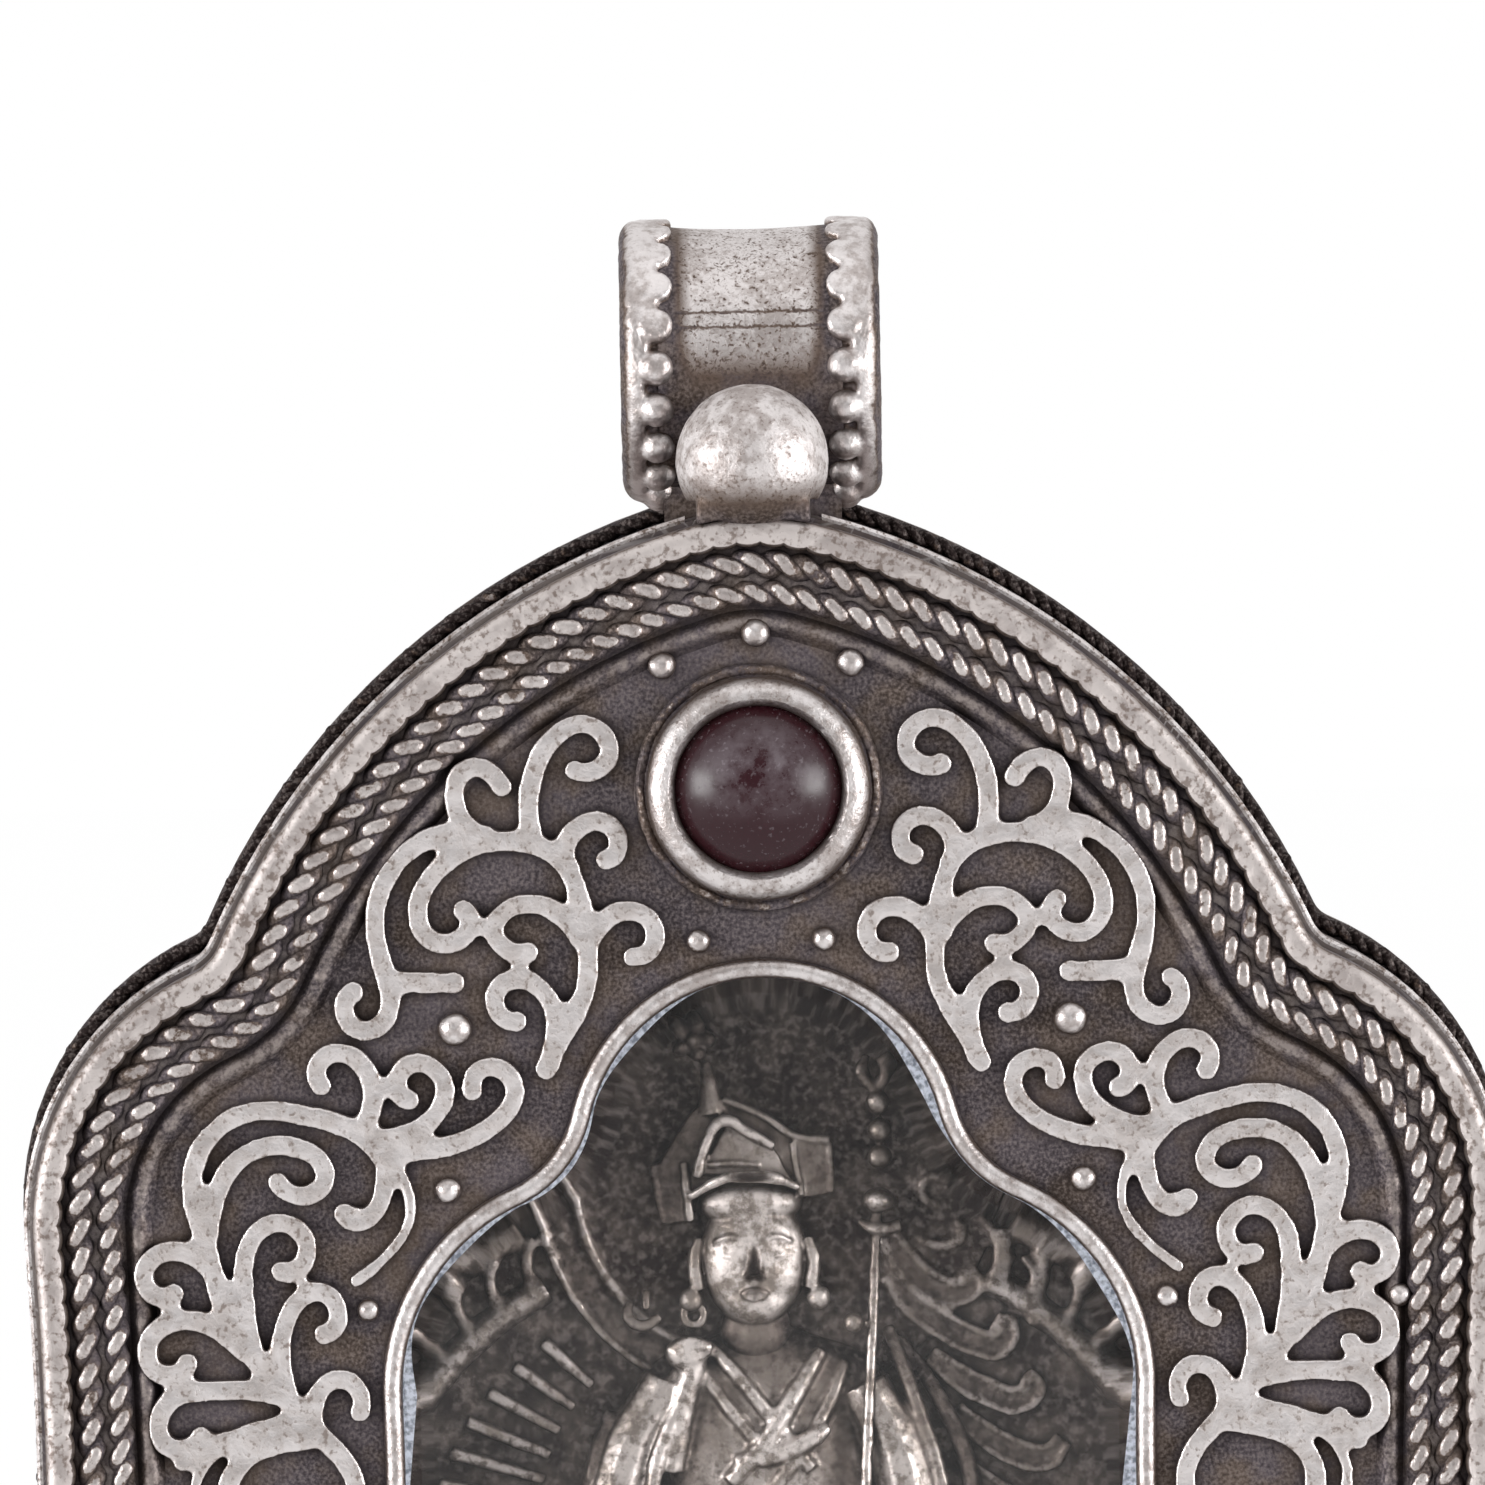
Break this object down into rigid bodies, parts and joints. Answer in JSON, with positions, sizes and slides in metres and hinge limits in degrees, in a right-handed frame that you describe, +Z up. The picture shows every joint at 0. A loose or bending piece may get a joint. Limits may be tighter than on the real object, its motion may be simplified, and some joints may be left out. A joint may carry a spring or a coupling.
{
  "type": "ghau amulet box",
  "caption": "Pendant prayer box: lobed silver case, tube bail, pull-off front cover with scrollwork, set stones and a glazed window over a seated figure.",
  "frame": {"origin": "middle of the bail's bore", "axes": "+Z up as it hangs, front towards -Y, +X to the right seen from the front, along the bail's bore"},
  "size_m": [0.0506, 0.0151, 0.0763],
  "materials": {
    "worn_silver": "worn, oxidised in the recesses",
    "dark_silver": "oxidised",
    "plaque_metal": "darkened",
    "crystal": "clear, dusty",
    "garnet": "polished cabochon"
  },
  "bodies": {
    "back_box": {"back_plate": "dark_silver", "back_wall": "dark_silver", "back_rope_wire": "worn_silver", "back_lip": "worn_silver", "bail_band": "worn_silver", "bail_edge_left": "worn_silver", "bail_edge_right": "worn_silver", "bail_foot": "dark_silver"},
    "front_cover": {"frame_plate": "dark_silver", "front_skirt": "dark_silver", "front_rim": "worn_silver", "outer_rope_wire": "worn_silver", "inner_rope_wire": "worn_silver", "window_wire": "worn_silver", "window_collar": "dark_silver", "window_pane": "crystal", "pane_spacer": "dark_silver", "figure_plaque": "plaque_metal", "plaque_tabs": "dark_silver", "scroll_upper_right": "worn_silver", "scroll_upper_left": "worn_silver", "scroll_lower_right": "worn_silver", "scroll_lower_left": "worn_silver", "scroll_side_right": "worn_silver", "scroll_side_left": "worn_silver", "granules": "worn_silver", "upper_bezel": "worn_silver", "lower_bezel": "worn_silver", "upper_stone": "garnet", "lower_stone": "garnet", "upper_bezel_wire": "worn_silver", "lower_bezel_wire": "worn_silver", "knob_tab": "dark_silver", "knob_ball": "worn_silver"}
  },
  "joints": [
    {"name": "cover_pull", "type": "slide", "parent": "back_box", "child": "front_cover", "axis": [0, -1, 0], "range_m": [0, 0.02]}
  ]
}
